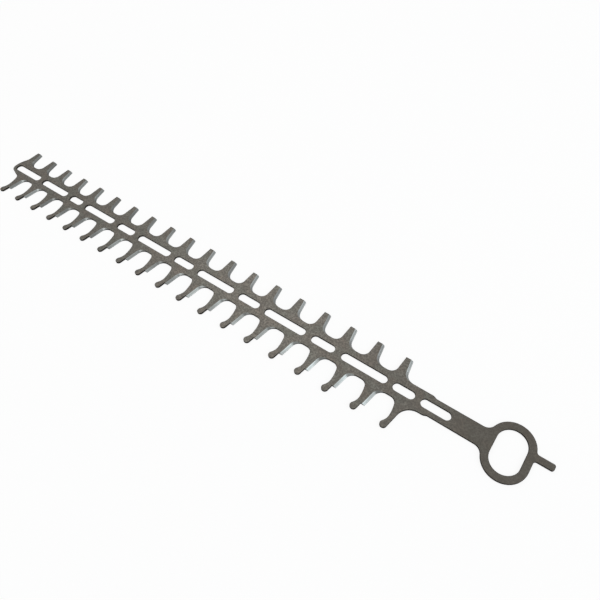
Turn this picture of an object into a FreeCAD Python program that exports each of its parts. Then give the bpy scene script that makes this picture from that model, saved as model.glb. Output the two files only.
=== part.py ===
import FreeCAD, Part
import math
import os
import Sketcher

# One toothed blade of a double-sided hedge trimmer, cut from flat steel.
# Millimetres. The origin is the centre of the drive eye on the underside,
# +X runs to the free end, +Y to the side with the long knobbed teeth, and
# +Z is up through the sheet, so the ground bevels look upwards.

os.makedirs("parts", exist_ok=True)
doc = FreeCAD.newDocument("HedgeTrimmerBlade")

SIZES = (
    ("thickness", 2.0),
    # drive eye, ring and tail
    ("eye_width", 25.9),
    ("eye_length", 40.9),
    ("ring_wall", 6.55),
    ("ring_blend", 8.0),
    ("tail_width", 6.2),
    ("tail_offset", 7.7),
    ("tail_reach", 15.6),
    ("tail_corner", 1.9),
    ("tail_root", 2.6),
    # shank and toothed bar
    ("shank_width", 18.0),
    ("bar_width", 20.8),
    ("step_place", 70.5),
    ("step_run", 3.4),
    ("step_round", 4.0),
    # both rows of teeth
    ("first_tooth", 95.65),
    ("pitch", 30.0),
    ("tooth_count", 19),
    ("root_bed", 3.0),
    ("flank_angle", 10.0),
    # long teeth with knobbed ends
    ("long_reach", 39.3),
    ("knob_radius", 3.3),
    ("knob_shift", 0.25),
    ("neck_arc", 12.0),
    ("back_arc", 40.0),
    ("back_round", 6.3),
    ("shoulder_height", 30.5),
    ("shoulder_offset", 7.75),
    ("flank_round", 8.0),
    ("first_root", 14.0),
    # short square-ended teeth
    ("short_stagger", 12.25),
    ("short_reach", 30.7),
    ("short_back", 2.5),
    ("short_back_angle", 4.0),
    ("short_back_round", 7.2),
    ("short_front", 4.83),
    ("short_front_round", 9.0),
    ("short_corner", 1.0),
    # free end
    ("nose_overhang", 21.6),
    ("nose_arc", 24.0),
    ("nose_root", 12.0),
    ("nose_corner", 7.0),
    ("nose_height", 0.5),
    # ground cutting bevels
    ("bevel_width", 2.5),
    ("edge_land", 0.25),
    ("bevel_fade", 0.4),
    ("bevel_overrun", 3.0),
    ("bevel_reach", 9.5),
    # guide slots
    ("slot_width", 8.4),
    ("slot_lead", 41.35),
    ("slot_long", 48.2),
    ("slot_web", 8.0),
    ("near_web", 6.05),
    ("near_slot", 21.5),
    ("entry_slot", 28.4),
    ("far_web", 7.2),
    ("far_slot", 20.5),
    ("end_slot", 45.0),
    ("end_wall", 3.95),
)

sheet = doc.addObject("Spreadsheet::Sheet", "Dims")
for row, (alias, number) in enumerate(SIZES, start=1):
    sheet.set("A%d" % row, alias)
    sheet.set("B%d" % row, str(number))
    sheet.setAlias("B%d" % row, alias)
doc.recompute()


def size(alias):
    return float(sheet.get(alias))


body = doc.addObject("PartDesign::Body", "Blade")
body.Label = "blade"


def origin_feature(role):
    for feature in body.Origin.OriginFeatures:
        if feature.Role == role:
            return feature
    raise RuntimeError("no origin feature " + role)


class Outline:
    """A closed sketch outline drawn element after element."""

    def __init__(self, name, height=None):
        self.sketch = body.newObject("Sketcher::SketchObject", name)
        self.sketch.AttachmentSupport = [(origin_feature("XY_Plane"), "")]
        self.sketch.MapMode = "FlatFace"
        if height:
            self.sketch.setExpression("AttachmentOffset.Base.z", height)
        self.items = []
        self.loop_start = 0

    def line(self, start, end, smooth=False):
        edge = Part.LineSegment(vector(start), vector(end))
        index = self.sketch.addGeometry(edge, False)
        self.items.append((index, 1, 2, smooth))
        return index

    def arc(self, centre, radius, start, end, ccw, smooth=False):
        first, last = (start, end) if ccw else (end, start)
        angles = []
        for point in (first, last):
            angles.append(math.atan2(point[1] - centre[1], point[0] - centre[0]))
        circle = Part.Circle(vector(centre), FreeCAD.Vector(0, 0, 1), radius)
        edge = Part.ArcOfCircle(circle, angles[0], angles[1])
        index = self.sketch.addGeometry(edge, False)
        ends = (1, 2) if ccw else (2, 1)
        self.items.append((index, ends[0], ends[1], smooth))
        return index

    def close(self):
        """Joins the elements of the loop; smooth ones run on tangentially."""
        loop = self.items[self.loop_start:]
        for place, (index, enter, leave, smooth) in enumerate(loop):
            following = loop[(place + 1) % len(loop)]
            kind = "Tangent" if smooth else "Coincident"
            joint = Sketcher.Constraint(kind, index, leave, following[0], following[1])
            self.sketch.addConstraint(joint)
        self.loop_start = len(self.items)

    def level(self, *indices):
        for index in indices:
            self.sketch.addConstraint(Sketcher.Constraint("Horizontal", index))

    def upright(self, *indices):
        for index in indices:
            self.sketch.addConstraint(Sketcher.Constraint("Vertical", index))

    def same_x(self, index, end, other, other_end):
        self.sketch.addConstraint(
            Sketcher.Constraint("Vertical", index, end, other, other_end))

    def same_y(self, index, end, other, other_end):
        self.sketch.addConstraint(
            Sketcher.Constraint("Horizontal", index, end, other, other_end))

    def bind(self, constraint, expression):
        number = self.sketch.addConstraint(constraint)
        self.sketch.setExpression("Constraints[%d]" % number, expression)

    def at_x(self, index, end, value, expression):
        self.bind(Sketcher.Constraint("DistanceX", index, end, value), expression)

    def at_y(self, index, end, value, expression):
        self.bind(Sketcher.Constraint("DistanceY", index, end, value), expression)

    def radius(self, index, value, expression):
        self.bind(Sketcher.Constraint("Radius", index, value), expression)

    def lean(self, index, degrees, expression):
        self.bind(Sketcher.Constraint("Angle", index, math.radians(degrees)), expression)


def vector(point, height=0.0):
    return FreeCAD.Vector(point[0], point[1], height)


def pad(name, outline):
    feature = body.newObject("PartDesign::Pad", name)
    feature.Profile = outline.sketch
    feature.setExpression("Length", "Dims.thickness")
    feature.Refine = True
    doc.recompute()
    return feature


def pocket_through(name, outline):
    before = body.Shape.Volume
    feature = body.newObject("PartDesign::Pocket", name)
    feature.Profile = outline.sketch
    feature.Type = "ThroughAll"
    feature.SideType = "Symmetric"
    feature.Refine = True
    doc.recompute()
    if body.Shape.Volume >= before:
        raise RuntimeError(name + " cuts nothing")
    return feature


def repeat(name, feature, spacing, count):
    """Repeats a feature along the blade."""
    pattern = body.newObject("PartDesign::LinearPattern", name)
    pattern.Originals = [feature]
    pattern.Direction = (origin_feature("X_Axis"), [""])
    pattern.setExpression("Occurrences", count)
    pattern.setExpression("Length", "(%s) * (%s - 1)" % (spacing, count))
    pattern.Refine = True
    body.Tip = pattern
    doc.recompute()
    return pattern


def upright_edges(places):
    """Names of the body's edges that stand upright at the given places."""
    names = []
    for x, y in places:
        best = None
        for number, edge in enumerate(body.Shape.Edges, start=1):
            ends = [vertex.Point for vertex in edge.Vertexes]
            if len(ends) != 2:
                continue
            if math.hypot(ends[0].x - ends[1].x, ends[0].y - ends[1].y) > 0.001:
                continue
            gap = math.hypot(ends[0].x - x, ends[0].y - y)
            if best is None or gap < best[0]:
                best = (gap, "Edge%d" % number)
        if best is None or best[0] > 0.05:
            raise RuntimeError("no upright edge at %.2f, %.2f" % (x, y))
        names.append(best[1])
    return names


def round_edges(name, places, radius):
    base = body.Tip
    names = upright_edges(places)
    feature = body.newObject("PartDesign::Fillet", name)
    feature.Base = (base, names)
    feature.setExpression("Radius", "Dims." + radius)
    feature.Refine = True
    doc.recompute()
    return feature


half_bar = size("bar_width") / 2
half_shank = size("shank_width") / 2
eye_radius = size("eye_width") / 2
ring_radius = eye_radius + size("ring_wall")
eye_centre = (size("eye_length") - size("eye_width")) / 2
lean = math.radians(size("flank_angle"))
last_tooth = size("first_tooth") + size("pitch") * (size("tooth_count") - 1)
LAST_TOOTH = "(Dims.first_tooth + Dims.pitch * (Dims.tooth_count - 1))"
HALF_BAR = "Dims.bar_width / 2"


# The gullets start where the back of a long tooth has turned into the bar's edge.
WAIST = (
    "(Dims.long_reach - Dims.knob_radius"
    " - sqrt((Dims.knob_radius + Dims.neck_arc) ^ 2 - (Dims.neck_arc - Dims.knob_shift) ^ 2))"
)
BAR_END = (
    LAST_TOOTH + " + Dims.back_arc - sqrt((Dims.back_arc - Dims.back_round) ^ 2"
    " - (" + WAIST + " - " + HALF_BAR + " - Dims.back_round) ^ 2)"
)


def long_back(x):
    """Points of the free-end side of a long tooth at x, gullet to knob."""
    reach = size("knob_radius") + size("neck_arc")
    across = size("neck_arc") - size("knob_shift")
    knob = (x + size("knob_shift"), size("long_reach") - size("knob_radius"))
    waist = (x, knob[1] - math.sqrt(reach ** 2 - across ** 2))
    neck = (x + size("neck_arc"), waist[1])
    share = size("knob_radius") / reach
    meet = (knob[0] + (neck[0] - knob[0]) * share, knob[1] + (neck[1] - knob[1]) * share)
    bow = (x + size("back_arc"), waist[1])
    inner = size("back_arc") - size("back_round")
    rise = waist[1] - half_bar - size("back_round")
    gullet = (bow[0] - math.sqrt(inner ** 2 - rise ** 2), half_bar + size("back_round"))
    stretch = size("back_arc") / inner
    turn = (bow[0] + (gullet[0] - bow[0]) * stretch, bow[1] + (gullet[1] - bow[1]) * stretch)
    tangent = (
        knob[0] - size("knob_radius") * math.cos(lean),
        knob[1] + size("knob_radius") * math.sin(lean),
    )
    return knob, waist, neck, meet, bow, gullet, turn, tangent


def root_centre(point, radius, floor):
    """Centre of a root arc that runs from a leaning flank into the floor."""
    drop = (floor + radius - point[1]) * math.sin(lean) - radius
    return (point[0] + drop / math.cos(lean), floor + radius)


def foot(centre, radius):
    """Where a leaning flank runs into the arc about the centre."""
    return (centre[0] + radius * math.cos(lean), centre[1] - radius * math.sin(lean))


def long_tooth(name, x, place, root, shouldered):
    knob, waist, neck, meet, bow, gullet, turn, tangent = long_back(x)
    bed = half_bar - size("root_bed")
    outline = Outline(name)
    side = outline.line((gullet[0], bed), (gullet[0], half_bar))
    back_root = outline.arc(
        gullet, size("back_round"), (gullet[0], half_bar), turn, False, True)
    back = outline.arc(bow, size("back_arc"), turn, waist, False, True)
    hollow = outline.arc(neck, size("neck_arc"), waist, meet, False, True)
    ball = outline.arc(knob, size("knob_radius"), meet, tangent, True, True)
    if shouldered:
        height = size("shoulder_height")
        nook = (tangent[0] - (tangent[1] - height) * math.tan(lean), height)
        corner = (x - size("shoulder_offset"), height)
        throat = outline.line(tangent, nook)
        ledge = outline.line(nook, corner)
        heel = root_centre(corner, size(root), half_bar)
        flank = outline.line(corner, foot(heel, size(root)), True)
    else:
        heel = root_centre(tangent, size(root), half_bar)
        flank = outline.line(tangent, foot(heel, size(root)), True)
    front_root = outline.arc(
        heel, size(root), foot(heel, size(root)), (heel[0], half_bar), False)
    drop = outline.line((heel[0], half_bar), (heel[0], bed))
    base = outline.line((heel[0], bed), (gullet[0], bed))
    outline.close()
    outline.upright(side, drop)
    outline.level(base)
    outline.at_y(base, 1, bed, HALF_BAR + " - Dims.root_bed")
    outline.at_y(side, 2, half_bar, HALF_BAR)
    outline.at_y(drop, 1, half_bar, HALF_BAR)
    outline.same_x(side, 2, back_root, 3)
    outline.same_x(drop, 1, front_root, 3)
    outline.radius(back_root, size("back_round"), "Dims.back_round")
    outline.radius(back, size("back_arc"), "Dims.back_arc")
    outline.radius(hollow, size("neck_arc"), "Dims.neck_arc")
    outline.radius(ball, size("knob_radius"), "Dims.knob_radius")
    outline.radius(front_root, size(root), "Dims." + root)
    outline.at_x(back, 1, waist[0], place)
    outline.same_y(back, 1, back, 3)
    outline.at_x(ball, 3, knob[0], place + " + Dims.knob_shift")
    outline.at_y(ball, 3, knob[1], "Dims.long_reach - Dims.knob_radius")
    if shouldered:
        outline.lean(throat, -90 - size("flank_angle"), "-90 - Dims.flank_angle")
        outline.level(ledge)
        outline.at_x(ledge, 2, corner[0], place + " - Dims.shoulder_offset")
        outline.at_y(ledge, 2, height, "Dims.shoulder_height")
    outline.lean(flank, -90 - size("flank_angle"), "-90 - Dims.flank_angle")
    return pad(name + "Pad", outline)


def short_front(x):
    """Points of the cutting side of a short tooth at x, from its end to the bar."""
    tip = -size("short_reach")
    radius = size("short_corner")
    root = size("short_front_round")
    edge = x - size("short_front")
    soft = (edge + radius * (1 - math.sin(lean)) / math.cos(lean), tip + radius)
    leave = (soft[0] - radius * math.cos(lean), soft[1] - radius * math.sin(lean))
    rise = (tip + half_bar + root) * math.sin(lean) - root
    heel = (edge + rise / math.cos(lean), -half_bar - root)
    meet = (heel[0] + root * math.cos(lean), heel[1] + root * math.sin(lean))
    return soft, leave, heel, meet, root, radius, tip


def short_tooth(name, x, place, is_last):
    soft, leave, heel, meet, root, radius, tip = short_front(x)
    back_lean = math.radians(size("short_back_angle"))
    corner = (x + size("short_back"), tip)
    bed = -half_bar + size("root_bed")
    outline = Outline(name)
    if not is_last:
        back_radius = size("short_back_round")
        fall = (-half_bar - back_radius - tip) * math.sin(back_lean) + back_radius
        gullet = (corner[0] + fall / math.cos(back_lean), -half_bar - back_radius)
        turn = (
            gullet[0] - back_radius * math.cos(back_lean),
            gullet[1] + back_radius * math.sin(back_lean),
        )
        side = outline.line((gullet[0], bed), (gullet[0], -half_bar))
        back_root = outline.arc(
            gullet, back_radius, (gullet[0], -half_bar), turn, True, True)
        back = outline.line(turn, corner)
    else:
        front = last_tooth + size("nose_overhang")
        bulge = (front - size("nose_arc"), size("nose_height"))
        bend = size("nose_root")
        # centre of the hollow between the tooth's back and the nose
        start = (
            corner[0] + bend * math.cos(back_lean),
            corner[1] - bend * math.sin(back_lean),
        )
        away = (start[0] - bulge[0], start[1] - bulge[1])
        along = away[0] * math.sin(back_lean) + away[1] * math.cos(back_lean)
        rest = away[0] ** 2 + away[1] ** 2 - (size("nose_arc") + bend) ** 2
        run = -along - math.sqrt(along ** 2 - rest)
        hollow_centre = (
            start[0] + run * math.sin(back_lean),
            start[1] + run * math.cos(back_lean),
        )
        turn = (
            hollow_centre[0] - bend * math.cos(back_lean),
            hollow_centre[1] + bend * math.sin(back_lean),
        )
        share = size("nose_arc") / (size("nose_arc") + bend)
        swell = (
            bulge[0] + (hollow_centre[0] - bulge[0]) * share,
            bulge[1] + (hollow_centre[1] - bulge[1]) * share,
        )
        # rounded corner of the nose and the edge that falls to it
        floor_end = (long_back(last_tooth)[5][0], half_bar)
        round_centre = (front - size("nose_corner"), size("nose_height"))
        gap = (round_centre[0] - floor_end[0], round_centre[1] - floor_end[1])
        spread = math.asin(size("nose_corner") / math.hypot(gap[0], gap[1]))
        bearing = math.atan2(gap[1], gap[0]) + spread
        touch = (
            round_centre[0] - size("nose_corner") * math.sin(bearing),
            round_centre[1] + size("nose_corner") * math.cos(bearing),
        )
        crest = (front, size("nose_height"))
        side = outline.line((heel[0], half_bar), floor_end)
        fall_edge = outline.line(floor_end, touch, True)
        round_edge = outline.arc(
            round_centre, size("nose_corner"), touch, crest, False, True)
        bulge_edge = outline.arc(bulge, size("nose_arc"), crest, swell, False, True)
        hollow_edge = outline.arc(hollow_centre, bend, swell, turn, True, True)
        back = outline.line(turn, corner)
    end = outline.line(corner, (soft[0], tip), True)
    nib = outline.arc(soft, radius, (soft[0], tip), leave, False, True)
    flank = outline.line(leave, meet, True)
    front_root = outline.arc(heel, root, meet, (heel[0], -half_bar), True)
    if not is_last:
        drop = outline.line((heel[0], -half_bar), (heel[0], bed))
        base = outline.line((heel[0], bed), (gullet[0], bed))
    else:
        drop = outline.line((heel[0], -half_bar), (heel[0], half_bar))
    outline.close()
    outline.upright(drop)
    outline.level(end)
    outline.at_y(end, 1, tip, "-Dims.short_reach")
    outline.at_x(end, 1, corner[0], place + " + Dims.short_back")
    outline.lean(back, -90 - size("short_back_angle"), "-90 - Dims.short_back_angle")
    outline.lean(flank, 90 + size("flank_angle"), "90 + Dims.flank_angle")
    outline.radius(nib, radius, "Dims.short_corner")
    outline.radius(front_root, root, "Dims.short_front_round")
    outline.at_y(drop, 1, -half_bar, "-" + HALF_BAR)
    outline.same_x(drop, 1, front_root, 3)
    # the flank is aimed at the sharp corner that the nib rounds off
    outline.at_x(
        nib, 3, soft[0],
        place + " - Dims.short_front + Dims.short_corner"
        " * (1 - sin(Dims.flank_angle)) / cos(Dims.flank_angle)")
    if not is_last:
        outline.upright(side)
        outline.level(base)
        outline.at_y(base, 1, bed, "-" + HALF_BAR + " + Dims.root_bed")
        outline.at_y(side, 2, -half_bar, "-" + HALF_BAR)
        outline.same_x(side, 2, back_root, 3)
        outline.radius(back_root, back_radius, "Dims.short_back_round")
    else:
        outline.level(side)
        outline.at_y(side, 1, half_bar, HALF_BAR)
        outline.at_x(side, 2, floor_end[0], BAR_END)
        outline.radius(round_edge, size("nose_corner"), "Dims.nose_corner")
        outline.radius(bulge_edge, size("nose_arc"), "Dims.nose_arc")
        outline.radius(hollow_edge, bend, "Dims.nose_root")
        outline.at_x(round_edge, 3, round_centre[0],
                     LAST_TOOTH + " + Dims.nose_overhang - Dims.nose_corner")
        outline.at_y(round_edge, 3, size("nose_height"), "Dims.nose_height")
        outline.same_y(round_edge, 1, round_edge, 3)
    return pad(name + "Pad", outline)


# The bar with its narrower shank
bar_end = long_back(last_tooth)[5][0]
step_in = size("step_place") - size("step_run") / 2
step_out = size("step_place") + size("step_run") / 2
bar = Outline("BarOutline")
corners = (
    (0.0, -half_shank),
    (step_in, -half_shank),
    (step_out, -half_bar),
    (bar_end, -half_bar),
    (bar_end, half_bar),
    (step_out, half_bar),
    (step_in, half_shank),
    (0.0, half_shank),
)
sides = []
for place in range(len(corners)):
    sides.append(bar.line(corners[place], corners[(place + 1) % len(corners)]))
bar.close()
bar.level(sides[0], sides[2], sides[4], sides[6])
bar.upright(sides[3], sides[7])
bar.at_x(sides[0], 1, 0.0, "0")
bar.at_y(sides[0], 1, -half_shank, "-Dims.shank_width / 2")
bar.at_y(sides[6], 1, half_shank, "Dims.shank_width / 2")
bar.at_y(sides[2], 1, -half_bar, "-" + HALF_BAR)
bar.at_y(sides[4], 1, half_bar, HALF_BAR)
bar.at_x(sides[0], 2, step_in, "Dims.step_place - Dims.step_run / 2")
bar.at_x(sides[2], 1, step_out, "Dims.step_place + Dims.step_run / 2")
bar.at_x(sides[4], 2, step_out, "Dims.step_place + Dims.step_run / 2")
bar.at_x(sides[6], 1, step_in, "Dims.step_place - Dims.step_run / 2")
bar.at_x(sides[3], 1, bar_end, BAR_END)
pad("BarPad", bar)


def add_slot(outline, centre, length, width, place, length_name, width_name, across=False):
    """A slot with full-round ends, along the blade or across it."""
    half = (length - width) / 2
    radius = width / 2
    if across:
        turn = [(-radius, -half), (-radius, half), (radius, half), (radius, -half)]
        mids = [(0, half), (0, -half)]
    else:
        turn = [(-half, radius), (half, radius), (half, -radius), (-half, -radius)]
        mids = [(half, 0), (-half, 0)]
    points = [(centre + x, y) for x, y in turn]
    one = (centre + mids[0][0], mids[0][1])
    two = (centre + mids[1][0], mids[1][1])
    first = outline.line(points[0], points[1], True)
    head = outline.arc(one, radius, points[1], points[2], False, True)
    second = outline.line(points[2], points[3], True)
    tail = outline.arc(two, radius, points[3], points[0], False, True)
    outline.close()
    outline.radius(head, radius, "(%s) / 2" % width_name)
    straight = "((%s) - (%s)) / 2" % (length_name, width_name)
    if across:
        outline.upright(first, second)
        outline.at_x(head, 3, one[0], place)
        outline.at_y(head, 3, one[1], straight)
        outline.at_y(tail, 3, two[1], "-" + straight)
    else:
        outline.level(first, second)
        outline.at_y(head, 3, 0.0, "0")
        outline.at_x(head, 3, one[0], "(%s) + %s" % (place, straight))
        outline.at_x(tail, 3, two[0], "(%s) - %s" % (place, straight))


# Ring round the drive eye, and the tail pin behind it
ring = Outline("RingOutline")
add_slot(
    ring, 0.0, size("eye_length") + 2 * size("ring_wall"), 2 * ring_radius, "0",
    "Dims.eye_length + 2 * Dims.ring_wall", "Dims.eye_width + 2 * Dims.ring_wall", True)
pad("RingPad", ring)

tail_low = -size("tail_offset") - size("tail_width") / 2
tail_high = -size("tail_offset") + size("tail_width") / 2
tail_end = -ring_radius - size("tail_reach")
tail_in = -eye_radius - size("ring_wall") / 2
tail = Outline("TailOutline")
tail_corners = (
    (tail_in, tail_low),
    (tail_in, tail_high),
    (tail_end, tail_high),
    (tail_end, tail_low),
)
sides = []
for place in range(4):
    sides.append(tail.line(tail_corners[place], tail_corners[(place + 1) % 4]))
tail.close()
tail.upright(sides[0], sides[2])
tail.level(sides[1], sides[3])
tail.at_x(sides[0], 1, tail_in, "-Dims.eye_width / 2 - Dims.ring_wall / 2")
tail.at_y(sides[0], 1, tail_low, "-Dims.tail_offset - Dims.tail_width / 2")
tail.at_x(sides[2], 1, tail_end, "-Dims.eye_width / 2 - Dims.ring_wall - Dims.tail_reach")
tail.at_y(sides[2], 1, tail_high, "-Dims.tail_offset + Dims.tail_width / 2")
pad("TailPad", tail)


def ring_x(y):
    """Outer reach of the ring at the height y, to either side."""
    beyond = max(0.0, abs(y) - eye_centre)
    return math.sqrt(ring_radius ** 2 - beyond ** 2)


round_edges(
    "RingBlend",
    [(ring_x(half_shank), half_shank), (ring_x(half_shank), -half_shank)],
    "ring_blend")
round_edges(
    "TailRoot",
    [(-ring_x(tail_low), tail_low), (-ring_x(tail_high), tail_high)],
    "tail_root")
round_edges("TailCorner", [(tail_end, tail_low), (tail_end, tail_high)], "tail_corner")
step_places = []
for sign in (-1, 1):
    step_places.append((step_in, sign * half_shank))
    step_places.append((step_out, sign * half_bar))
round_edges("StepRound", step_places, "step_round")

# Long knobbed teeth; the one nearest the eye has a plain, wide root
long_tooth("FirstLongTooth", size("first_tooth"), "Dims.first_tooth", "first_root", False)
regular = long_tooth(
    "LongTooth", size("first_tooth") + size("pitch"), "Dims.first_tooth + Dims.pitch",
    "flank_round", True)
repeat("LongTeeth", regular, "Dims.pitch", "Dims.tooth_count - 1")

# Short square-ended teeth; the last one runs on into the nose
short_x = size("first_tooth") + size("short_stagger")
short = short_tooth("ShortTooth", short_x, "Dims.first_tooth + Dims.short_stagger", False)
repeat("ShortTeeth", short, "Dims.pitch", "Dims.tooth_count - 1")
short_tooth(
    "NoseTooth", last_tooth + size("short_stagger"),
    LAST_TOOTH + " + Dims.short_stagger", True)

# Drive eye
eye = Outline("EyeOutline")
add_slot(eye, 0.0, size("eye_length"), size("eye_width"), "0",
         "Dims.eye_length", "Dims.eye_width", True)
pocket_through("EyePocket", eye)

# Guide slots: long and short ones take turns at one and a half pitches
slot_step = 1.5 * size("pitch")
slot_long = size("slot_long")
slot_short = 2 * slot_step - 2 * size("slot_web") - slot_long
SLOT_SHORT = "3 * Dims.pitch - 2 * Dims.slot_web - Dims.slot_long"
SLOT_FIRST = "Dims.first_tooth + Dims.slot_lead"
slot_first = size("first_tooth") + size("slot_lead")
long_count = int(size("tooth_count") // 3) - 1
LONG_COUNT = "floor(Dims.tooth_count / 3) - 1"
long_slot = Outline("LongSlotOutline")
add_slot(long_slot, slot_first, slot_long, size("slot_width"), SLOT_FIRST,
         "Dims.slot_long", "Dims.slot_width")
repeat("LongSlots", pocket_through("LongSlot", long_slot), "3 * Dims.pitch", LONG_COUNT)
short_slot = Outline("ShortSlotOutline")
add_slot(short_slot, slot_first + slot_step, slot_short, size("slot_width"),
         SLOT_FIRST + " + 1.5 * Dims.pitch", SLOT_SHORT, "Dims.slot_width")
repeat("ShortSlots", pocket_through("ShortSlot", short_slot), "3 * Dims.pitch",
       LONG_COUNT + " - 1")

# Slots at both ends of the row, chained on by their webs
near = slot_first - slot_long / 2 - size("near_web") - size("near_slot") / 2
NEAR = SLOT_FIRST + " - Dims.slot_long / 2 - Dims.near_web - Dims.near_slot / 2"
entry = near - size("near_slot") / 2 - size("near_web") - size("entry_slot") / 2
ENTRY = NEAR + " - Dims.near_slot / 2 - Dims.near_web - Dims.entry_slot / 2"
row_end = slot_first + 2 * slot_step * (long_count - 1) + slot_long / 2
ROW_END = SLOT_FIRST + " + 3 * Dims.pitch * (" + LONG_COUNT + " - 1) + Dims.slot_long / 2"
far = row_end + size("far_web") + size("far_slot") / 2
FAR = ROW_END + " + Dims.far_web + Dims.far_slot / 2"
front = last_tooth + size("nose_overhang")
end = front - size("end_wall") - size("end_slot") / 2
END = LAST_TOOTH + " + Dims.nose_overhang - Dims.end_wall - Dims.end_slot / 2"
fill_start = far + size("far_slot") / 2 + size("far_web")
fill_end = end - size("end_slot") / 2 - size("far_web")
FILL_START = FAR + " + Dims.far_slot / 2 + Dims.far_web"
FILL_END = END + " - Dims.end_slot / 2 - Dims.far_web"
row_slots = Outline("EndSlotOutlines")
for centre, length, place, length_name in (
    (entry, size("entry_slot"), ENTRY, "Dims.entry_slot"),
    (near, size("near_slot"), NEAR, "Dims.near_slot"),
    (far, size("far_slot"), FAR, "Dims.far_slot"),
    ((fill_start + fill_end) / 2, fill_end - fill_start,
     "(" + FILL_START + " + " + FILL_END + ") / 2", FILL_END + " - (" + FILL_START + ")"),
    (end, size("end_slot"), END, "Dims.end_slot"),
):
    add_slot(row_slots, centre, length, size("slot_width"), place, length_name,
             "Dims.slot_width")
pocket_through("EndSlots", row_slots)

# Ground bevels on the cutting flanks, which look back to the eye
bevel_depth = size("thickness") - size("edge_land")
BEVEL_DEPTH = "Dims.thickness - Dims.edge_land"


def bevel(name, corner, place_x, place_y, root, sign):
    """A grinding cut that follows the flank and fades out in its root arc."""
    radius = size(root)
    width = size("bevel_width")
    fade = radius - size("bevel_fade") - math.sin(lean) * (radius + width)
    fade = fade / (1 - math.sin(lean))
    heel = root_centre(corner, radius, half_bar)
    shift = radius + width - fade
    centre = (heel[0] + shift * math.cos(lean), heel[1] - shift * math.sin(lean))
    edge = (centre[0] + fade * math.cos(lean), centre[1] - fade * math.sin(lean))
    top = corner[1] + size("bevel_overrun")
    start = (edge[0] + (top - edge[1]) * math.tan(lean), top)
    low = centre[1] - fade
    out = corner[0] - size("bevel_reach")
    outline = Outline(name, "Dims.thickness")
    cut = outline.line((start[0], sign * top), (edge[0], sign * edge[1]), True)
    sweep = outline.arc(
        (centre[0], sign * centre[1]), fade, (edge[0], sign * edge[1]),
        (centre[0], sign * low), sign < 0, True)
    skirt = outline.line((centre[0], sign * low), (out, sign * low))
    wall = outline.line((out, sign * low), (out, sign * top))
    roof = outline.line((out, sign * top), (start[0], sign * top))
    outline.close()
    outline.level(skirt, roof)
    outline.upright(wall)
    outline.at_x(wall, 1, out, place_x + " - Dims.bevel_reach")
    outline.at_x(
        cut, 1, start[0],
        place_x + " + (Dims.bevel_width + Dims.bevel_overrun * sin(Dims.flank_angle))"
        " / cos(Dims.flank_angle)")
    prefix = "" if sign > 0 else "-"
    outline.at_y(roof, 1, sign * top, "%s(%s + Dims.bevel_overrun)" % (prefix, place_y))
    outline.at_y(skirt, 1, sign * low, "%s(%s + Dims.bevel_fade)" % (prefix, HALF_BAR))
    outline.radius(
        sweep, fade,
        "(Dims.%s - Dims.bevel_fade - sin(Dims.flank_angle) * (Dims.%s + Dims.bevel_width))"
        " / (1 - sin(Dims.flank_angle))" % (root, root))
    outline.lean(cut, sign * (-90 - size("flank_angle")),
                 "%s(-90 - Dims.flank_angle)" % prefix)
    before = body.Shape.Volume
    feature = body.newObject("PartDesign::Pocket", name + "Cut")
    feature.Profile = outline.sketch
    feature.setExpression("Length", BEVEL_DEPTH)
    feature.setExpression("TaperAngle", "-atan(Dims.bevel_width / (%s))" % BEVEL_DEPTH)
    feature.Refine = True
    doc.recompute()
    if body.Shape.Volume >= before:
        raise RuntimeError(name + " cuts nothing")
    return feature


long_corner = (
    size("first_tooth") + size("pitch") - size("shoulder_offset"), size("shoulder_height"))
long_bevel = bevel(
    "LongBevel", long_corner, "Dims.first_tooth + Dims.pitch - Dims.shoulder_offset",
    "Dims.shoulder_height", "flank_round", 1)
repeat("LongBevels", long_bevel, "Dims.pitch", "Dims.tooth_count - 1")
short_corner = (short_x - size("short_front"), size("short_reach"))
short_bevel = bevel(
    "ShortBevel", short_corner, "Dims.first_tooth + Dims.short_stagger - Dims.short_front",
    "Dims.short_reach", "short_front_round", -1)
repeat("ShortBevels", short_bevel, "Dims.pitch", "Dims.tooth_count")

# Every object is sound before anything is written
doc.recompute()
for item in doc.Objects:
    if "Invalid" in item.State or "Error" in item.State:
        raise RuntimeError(item.Name + " failed: " + ", ".join(item.State))
shape = body.Shape
if shape.isNull() or not shape.isValid() or len(shape.Solids) != 1:
    raise RuntimeError("blade is not one sound solid")
print("blade", len(shape.Faces), "faces", round(shape.Volume, 3), "mm3", shape.BoundBox)
shape.exportStep("parts/" + body.Label + ".step")
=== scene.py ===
import math

import bpy
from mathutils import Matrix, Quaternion, Vector


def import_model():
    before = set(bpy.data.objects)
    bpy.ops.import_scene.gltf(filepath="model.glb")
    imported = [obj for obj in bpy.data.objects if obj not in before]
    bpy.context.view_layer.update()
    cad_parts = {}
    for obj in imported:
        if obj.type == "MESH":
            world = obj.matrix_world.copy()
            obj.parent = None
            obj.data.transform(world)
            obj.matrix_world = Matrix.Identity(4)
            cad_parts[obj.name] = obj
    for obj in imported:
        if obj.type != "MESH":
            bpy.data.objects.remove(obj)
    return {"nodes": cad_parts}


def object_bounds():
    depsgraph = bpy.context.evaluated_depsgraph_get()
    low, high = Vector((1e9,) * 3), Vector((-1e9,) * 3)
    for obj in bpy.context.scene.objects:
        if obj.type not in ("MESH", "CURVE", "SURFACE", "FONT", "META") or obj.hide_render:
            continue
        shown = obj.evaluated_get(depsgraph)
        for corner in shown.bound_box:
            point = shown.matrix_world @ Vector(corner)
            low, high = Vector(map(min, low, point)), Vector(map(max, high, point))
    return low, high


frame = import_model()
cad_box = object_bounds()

# Sizes are in metres, and noise scales are in cells per metre.
EDGE_ROUNDING = 0.00025
RIM_WIDTH = 0.0013
SEAM_HEIGHT = 0.00105
LINES_PER_METRE = 5200.0
FLOOR_DROP = 0.0001
FLOOR_HALF_WIDTH = 6.0

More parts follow.
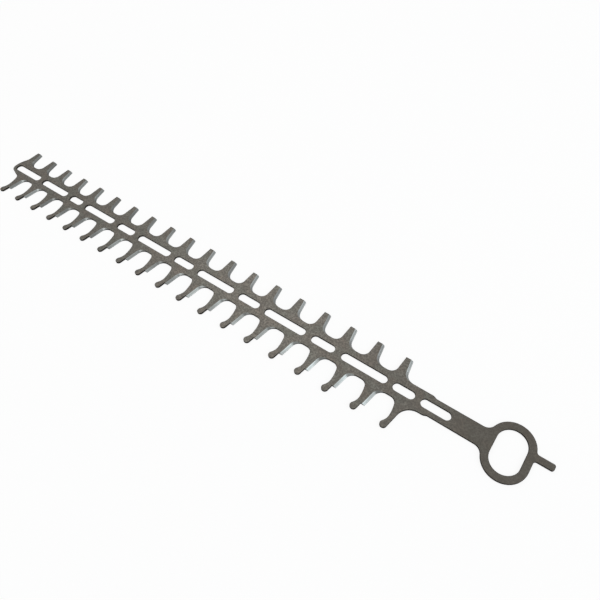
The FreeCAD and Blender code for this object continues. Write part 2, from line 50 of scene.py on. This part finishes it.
# The floor shows mostly as a plain white glow. The rest of it is lit paper, which keeps the shadow.
WHITE = (1.0, 1.0, 1.0, 1.0)
FLOOR_WHITE_SHARE = 0.84
FLOOR_GLOW = 1.02
# The world's strength as a light. Where it is seen or mirrored, it is 1.
WORLD_LIGHT = 0.60

CAMERA_PLACE = Vector((0.038386, 0.189216, 0.427252))
CAMERA_AIM = Vector((0.228843, -0.030704, 0.0))
CAMERA_ROLL = math.radians(-6.6026)

# Each lamp's name, place, aim, width, height, glow and colour
LAMPS = (
    ("side_softbox", (-1.25, -0.32, 0.78), (0.15, 0.0, 0.0), 1.2, 0.9, 2.40, (0.93, 1.0, 1.05)),
    ("back_softbox", (0.95, -0.75, 1.35), (0.30, 0.0, 0.0), 0.9, 0.9, 1.35, (1.0, 1.0, 1.0)),
    ("front_softbox", (0.45, 0.85, 1.45), (0.45, 0.0, 0.0), 1.1, 0.5, 2.20, (1.0, 1.0, 1.0)),
    ("upper_softbox", (-0.90, -0.25, 1.50), (0.30, 0.0, 0.0), 0.8, 0.7, 1.30, (0.98, 1.0, 1.0)),
    ("far_softbox", (1.84, -0.37, 0.83), (0.60, 0.0, 0.0), 0.6, 0.6, 0.55, (0.98, 1.0, 1.03)),
)


def rgb(red, green, blue):
    """An sRGB colour, 0 to 255, as linear RGBA."""
    out = []
    for part in (red, green, blue):
        part /= 255.0
        out.append(part / 12.92 if part <= 0.04045 else ((part + 0.055) / 1.055) ** 2.4)
    return (*out, 1.0)


# Mill skin
SKIN_WARM = rgb(107, 100, 92)
SKIN_COOL = rgb(99, 101, 94)
SKIN_BLOTCH = rgb(108, 105, 99)
SKIN_PATCH = rgb(73, 70, 65)
SKIN_CLOUD = rgb(75, 72, 68)
SKIN_GRAIN = rgb(116, 112, 106)
SKIN_SPECK = rgb(64, 61, 57)
# Painted shade for the ring and shank at the near end
SKIN_NEAR_PAINTED_SHADE = rgb(75, 71, 65)
# Painted shade along each cut edge
SKIN_RIM_PAINTED_SHADE = rgb(34, 32, 29)

# Ground strips
GROUND_DARK = rgb(101, 103, 102)
GROUND_PALE = rgb(125, 128, 127)
GROUND_BLOTCH = rgb(112, 112, 108)
GROUND_BRIGHT = rgb(150, 155, 154)
# Painted shade in the root of each gap
GROUND_ROOT_PAINTED_SHADE = rgb(84, 83, 79)
# Painted highlight for the near strips of the short teeth, then painted shade for their far strips
GROUND_NEAR_PAINTED_HIGHLIGHT = rgb(168, 170, 170)
GROUND_FAR_PAINTED_SHADE = rgb(72, 72, 69)
GROUND_SEAM = rgb(96, 98, 98)

# Cut walls: painted shade, with the shear streaks
WALL_PAINTED_SHADE_DARK = rgb(28, 27, 25)
WALL_PAINTED_SHADE_PALE = rgb(48, 46, 43)

# Floor
PAPER_BASE = rgb(238, 238, 238)
PAPER_FIBRE = rgb(232, 232, 231)
PAPER_SWEEP = rgb(240, 240, 239)


class Tree:
    """A thin wrapper that adds and wires shader nodes."""

    def __init__(self, owner):
        owner.use_nodes = True
        self.tree = owner.node_tree
        self.tree.nodes.clear()

    def node(self, kind, **values):
        made = self.tree.nodes.new(kind)
        for key, value in values.items():
            setattr(made, key, value)
        return made

    def link(self, source, target):
        self.tree.links.new(source, target)

    def feed(self, socket, value):
        """Links a socket to another, or sets it to a plain value."""
        if isinstance(value, bpy.types.NodeSocket):
            self.link(value, socket)
        else:
            socket.default_value = value

    def math(self, operation, *values):
        made = self.node("ShaderNodeMath", operation=operation)
        for socket, value in zip(made.inputs, values):
            self.feed(socket, value)
        return made.outputs["Value"]

    def vector(self, operation, *values):
        made = self.node("ShaderNodeVectorMath", operation=operation)
        for socket, value in zip(made.inputs, values):
            self.feed(socket, value)
        return made.outputs["Value" if operation == "DOT_PRODUCT" else "Vector"]

    def split(self, vector):
        """The X, Y and Z of a vector."""
        made = self.node("ShaderNodeSeparateXYZ")
        self.link(vector, made.inputs["Vector"])
        return made.outputs

    def ramp(self, value, low, high, out_low=0.0, out_high=1.0):
        """A smooth step from out_low, at low and below, to out_high, at high and above."""
        made = self.node("ShaderNodeMapRange", interpolation_type="SMOOTHSTEP")
        for name, amount in (("Value", value), ("From Min", low), ("From Max", high),
                             ("To Min", out_low), ("To Max", out_high)):
            self.feed(made.inputs[name], amount)
        return made.outputs["Result"]

    def mix(self, factor, first, second, kind="RGBA"):
        """From first, at a factor of 0, to second, at 1: colours, or numbers with kind FLOAT."""
        made = self.node("ShaderNodeMix", data_type=kind)
        self.feed(made.inputs["Factor"], factor)
        self.feed(made.inputs["A"], first)
        self.feed(made.inputs["B"], second)
        return made.outputs["Result"]

    def noise(self, place, scale, detail, rough):
        """Noise of one scale, or of one scale for each axis."""
        if isinstance(scale, tuple):
            stretched = self.node("ShaderNodeMapping", vector_type="POINT")
            self.feed(stretched.inputs["Vector"], place)
            stretched.inputs["Scale"].default_value = scale
            place = stretched.outputs["Vector"]
            scale = 1.0
        made = self.node("ShaderNodeTexNoise", noise_dimensions="3D")
        self.feed(made.inputs["Vector"], place)
        self.feed(made.inputs["Scale"], scale)
        self.feed(made.inputs["Detail"], detail)
        self.feed(made.inputs["Roughness"], rough)
        return made.outputs["Fac"]

    def rounded(self, radius, samples):
        """The normal as it would be with the edges rounded by a radius."""
        made = self.node("ShaderNodeBevel", samples=samples)
        made.inputs["Radius"].default_value = radius
        return made.outputs["Normal"]

    def background_rays(self):
        """1 for the rays that see the background as white: camera, glossy and transmission."""
        ray = self.node("ShaderNodeLightPath").outputs
        mirrored = self.math("MAXIMUM", ray["Is Glossy Ray"], ray["Is Transmission Ray"])
        return self.math("MAXIMUM", ray["Is Camera Ray"], mirrored)

    def show(self, shader, kind="ShaderNodeOutputMaterial"):
        self.link(shader, self.node(kind).inputs["Surface"])


def skin_colour(t, place, where, blotch, cloud, grain):
    """Brown-grey mill skin: blotches of tint, a cloudy mottle and fine grain along the bar."""
    tint = t.noise(place, (55.0, 75.0, 55.0), 2.0, 0.5)
    patch = t.noise(place, 270.0, 2.0, 0.5)
    speck = t.noise(place, 2600.0, 2.0, 0.6)
    skin = t.mix(t.ramp(tint, 0.35, 0.65), SKIN_WARM, SKIN_COOL)
    skin = t.mix(t.ramp(blotch, 0.35, 0.70, 0.0, 0.80), skin, SKIN_BLOTCH)
    skin = t.mix(t.ramp(patch, 0.38, 0.62, 0.0, 0.38), skin, SKIN_PATCH)
    skin = t.mix(t.ramp(cloud, 0.38, 0.62, 0.0, 0.80), skin, SKIN_CLOUD)
    skin = t.mix(t.ramp(grain, 0.30, 0.72, 0.0, 0.35), skin, SKIN_GRAIN)
    skin = t.mix(t.ramp(speck, 0.60, 0.78, 0.0, 0.40), skin, SKIN_SPECK)
    # The ring and shank are painted a shade darker than the toothed bar: painted shade at the near
    # end.
    return t.mix(t.ramp(where["X"], 0.010, 0.085, 0.5, 0.0), skin, SKIN_NEAR_PAINTED_SHADE)


def grinding_lines(t, place, normal):
    """Fine lines across the cutting edge: noise that changes only along the edge."""
    upwards = (0.0, 0.0, 1.0)
    along = t.vector("NORMALIZE", t.vector("CROSS_PRODUCT", upwards, normal))
    run = t.vector("DOT_PRODUCT", place, along)
    line_place = t.node("ShaderNodeCombineXYZ")
    t.link(t.math("MULTIPLY", run, LINES_PER_METRE), line_place.inputs["X"])
    return t.noise(line_place.outputs["Vector"], 1.0, 3.0, 0.65)


def ground_colour(t, place, where, facing, blotch, lines):
    """Bare ground steel of the cutting flanks."""
    ground = t.mix(t.ramp(lines, 0.25, 0.75), GROUND_DARK, GROUND_PALE)
    ground = t.mix(t.ramp(blotch, 0.35, 0.70, 0.0, 0.40), ground, GROUND_BLOTCH)
    # No two teeth were ground quite alike.
    tooth = t.noise(place, (38.0, 22.0, 1.0), 1.0, 0.5)
    ground = t.mix(t.ramp(tooth, 0.42, 0.60, 0.0, 0.80), ground, GROUND_BRIGHT)
    # The strip is painted darker where it turns sideways into the root of each gap: painted shade.
    sideways = t.math("ABSOLUTE", facing["Y"])
    ground = t.mix(t.ramp(sideways, 0.12, 0.64, 0.0, 0.36), ground, GROUND_ROOT_PAINTED_SHADE)
    # The strips of the short teeth get a painted highlight near the eye and painted shade towards the
    # free end.
    short_side = t.math("LESS_THAN", where["Y"], 0.0)
    near_painted_highlight = t.math("MULTIPLY", t.ramp(where["X"], 0.25, 0.50, 0.26, 0.0), short_side)
    ground = t.mix(near_painted_highlight, ground, GROUND_NEAR_PAINTED_HIGHLIGHT)
    far_painted_shade = t.math("MULTIPLY", t.ramp(where["X"], 0.25, 0.55, 0.0, 0.25), short_side)
    ground = t.mix(far_painted_shade, ground, GROUND_FAR_PAINTED_SHADE)
    # Two passes of the wheel meet in a duller line halfway down the strip.
    off_seam = t.math("ABSOLUTE", t.math("SUBTRACT", where["Z"], SEAM_HEIGHT))
    return t.mix(t.ramp(off_seam, 0.00010, 0.00042, 0.40, 0.0), ground, GROUND_SEAM)


def rim_shade_mask(t, facing, flat):
    """Marks flat faces beside a cut edge, where a wide rounding turns the normal away, for the
    painted shade along the edges.
    """
    turned = t.split(t.rounded(RIM_WIDTH, samples=10))
    apart = t.math("ABSOLUTE", t.math("SUBTRACT", turned["Z"], facing["Z"]))
    return t.math("MULTIPLY", t.ramp(apart, 0.03, 0.22), flat)


def steel():
    """Mill skin on the flat faces, ground strips on the flanks, and cut walls painted dark as shade.
    """
    material = bpy.data.materials.new("blade_steel")
    t = Tree(material)
    normal = t.node("ShaderNodeNewGeometry").outputs["True Normal"]
    place = t.node("ShaderNodeTexCoord").outputs["Object"]
    where = t.split(place)
    facing = t.split(normal)
    tilt = t.math("ABSOLUTE", facing["Z"])
    flat = t.ramp(tilt, 0.90, 0.97)
    wall = t.ramp(tilt, 0.20, 0.55, 1.0, 0.0)

    blotch = t.noise(place, 60.0, 3.0, 0.55)
    cloud = t.noise(place, 620.0, 4.0, 0.6)
    grain = t.noise(place, (900.0, 9000.0, 3000.0), 3.0, 0.6)
    lines = grinding_lines(t, place, normal)
    # Upright streaks that the shear leaves on the walls
    shear = t.noise(place, (3200.0, 3200.0, 260.0), 2.0, 0.6)

    skin = skin_colour(t, place, where, blotch, cloud, grain)
    ground = ground_colour(t, place, where, facing, blotch, lines)
    # The cut walls are painted near-black as painted shade, streaked by the shear.
    wall_painted_shade = t.mix(t.ramp(shear, 0.30, 0.72), WALL_PAINTED_SHADE_DARK, WALL_PAINTED_SHADE_PALE)
    colour = t.mix(wall, t.mix(flat, ground, skin), wall_painted_shade)
    # The skin is painted darker towards each cut edge: painted shade along the edges.
    colour = t.mix(t.math("MULTIPLY", rim_shade_mask(t, facing, flat), 0.92), colour, SKIN_RIM_PAINTED_SHADE)

    skin_rough = t.math("ADD", t.ramp(cloud, 0.25, 0.75, 0.36, 0.50),
                        t.ramp(grain, 0.30, 0.70, -0.04, 0.05))
    ground_rough = t.ramp(lines, 0.25, 0.75, 0.34, 0.24)
    wall_rough = 0.55
    rough = t.mix(wall, t.mix(flat, ground_rough, skin_rough, "FLOAT"), wall_rough, "FLOAT")

    skin_height = t.math("ADD", t.math("MULTIPLY", grain, 0.5), t.math("MULTIPLY", cloud, 0.5))
    bump = t.node("ShaderNodeBump")
    bump.inputs["Strength"].default_value = 0.18
    bump.inputs["Distance"].default_value = 0.00004
    t.link(t.mix(flat, lines, skin_height, "FLOAT"), bump.inputs["Height"])
    t.link(t.rounded(EDGE_ROUNDING, samples=6), bump.inputs["Normal"])

    shader = t.node("ShaderNodeBsdfPrincipled")
    shader.inputs["Metallic"].default_value = 1.0
    shader.inputs["Specular Tint"].default_value = (0.55, 0.55, 0.55, 1.0)
    t.link(colour, shader.inputs["Base Color"])
    t.link(rough, shader.inputs["Roughness"])
    t.link(bump.outputs["Normal"], shader.inputs["Normal"])
    t.show(shader.outputs["BSDF"])
    return material


def paper():
    """Matt pale paper, seen mostly as plain white."""
    material = bpy.data.materials.new("studio_floor")
    t = Tree(material)
    place = t.node("ShaderNodeTexCoord").outputs["Object"]
    fibre = t.noise(place, 900.0, 3.0, 0.6)
    sweep = t.noise(place, 3.0, 2.0, 0.5)
    tone = t.mix(t.ramp(fibre, 0.3, 0.7, 0.0, 0.5), PAPER_BASE, PAPER_FIBRE)
    tone = t.mix(t.ramp(sweep, 0.3, 0.7, 0.0, 0.4), tone, PAPER_SWEEP)
    matt = t.node("ShaderNodeBsdfDiffuse")
    matt.inputs["Roughness"].default_value = 0.6
    t.link(tone, matt.inputs["Color"])
    glow = t.node("ShaderNodeEmission")
    glow.inputs["Color"].default_value = WHITE
    glow.inputs["Strength"].default_value = FLOOR_GLOW
    blend = t.node("ShaderNodeMixShader")
    t.link(t.math("MULTIPLY", t.background_rays(), FLOOR_WHITE_SHARE), blend.inputs[0])
    t.link(matt.outputs["BSDF"], blend.inputs[1])
    t.link(glow.outputs["Emission"], blend.inputs[2])
    t.show(blend.outputs["Shader"])
    return material


def floor():
    half = FLOOR_HALF_WIDTH
    level = cad_box[0][2] - FLOOR_DROP
    corners = [(-half, -half, level), (half, -half, level), (half, half, level), (-half, half, level)]
    mesh = bpy.data.meshes.new("studio_floor")
    mesh.from_pydata(corners, [], [(0, 1, 2, 3)])
    mesh.materials.append(paper())
    piece = bpy.data.objects.new("studio_floor", mesh)
    bpy.context.scene.collection.objects.link(piece)


def world():
    """White where it is seen or mirrored, and softer as a light."""
    sky = bpy.data.worlds.new("studio_world")
    bpy.context.scene.world = sky
    t = Tree(sky)
    back = t.node("ShaderNodeBackground")
    back.inputs["Color"].default_value = WHITE
    t.link(t.ramp(t.background_rays(), 0.0, 1.0, WORLD_LIGHT, 1.0), back.inputs["Strength"])
    t.show(back.outputs["Background"], "ShaderNodeOutputWorld")


def softbox(name, place, aim, width, height, glow, colour):
    """A rectangular lamp whose face shines with the given radiance."""
    light = bpy.data.lights.new(name, "AREA")
    light.shape = "RECTANGLE"
    light.size = width
    light.size_y = height
    light.energy = glow * math.pi * width * height
    light.color = colour
    lamp = bpy.data.objects.new(name, light)
    lamp.location = place
    lamp.rotation_euler = (Vector(aim) - Vector(place)).to_track_quat("-Z", "Y").to_euler()
    bpy.context.scene.collection.objects.link(lamp)


def camera():
    lens = bpy.data.cameras.new("photo_view")
    lens.sensor_fit = "HORIZONTAL"
    lens.sensor_width = 36.0
    lens.lens = 30.885
    lens.shift_x = -0.0027
    lens.clip_start = 0.01
    lens.clip_end = 50.0
    view = bpy.data.objects.new("photo_view", lens)
    aimed = (CAMERA_AIM - CAMERA_PLACE).to_track_quat("-Z", "Y")
    view.location = CAMERA_PLACE
    view.rotation_mode = "QUATERNION"
    view.rotation_quaternion = aimed @ Quaternion((0.0, 0.0, 1.0), CAMERA_ROLL)
    bpy.context.scene.collection.objects.link(view)
    bpy.context.scene.camera = view


frame["nodes"]["blade"].material_slots[0].material = steel()

floor()
world()
for lamp in LAMPS:
    softbox(*lamp)
camera()
bpy.context.scene.view_settings.view_transform = "Standard"
